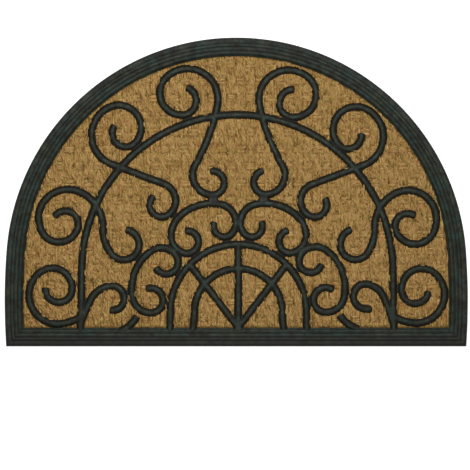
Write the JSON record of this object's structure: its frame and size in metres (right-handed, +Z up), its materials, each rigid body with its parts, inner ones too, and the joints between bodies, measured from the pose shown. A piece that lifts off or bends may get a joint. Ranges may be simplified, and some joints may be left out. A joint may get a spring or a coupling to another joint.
{
  "type": "half-round doormat",
  "caption": "Half-round rubber doormat with a ribbed, bevelled border and raised wrought-iron style scrollwork over a woven coir panel, to lie flat at a door.",
  "frame": {"origin": "middle of the underside of the mat's box, on the floor", "axes": "+X along the straight edge, +Y from the straight edge towards the crown of the curve, +Z up, away from the floor"},
  "size_m": [0.9144, 0.6096, 0.0122],
  "materials": {
    "rubber": "matt black-green moulded rubber",
    "coir": "natural brown woven coir"
  },
  "bodies": {
    "root": {"rubber_moulding": "rubber", "coir_panel": "coir"}
  },
  "joints": []
}
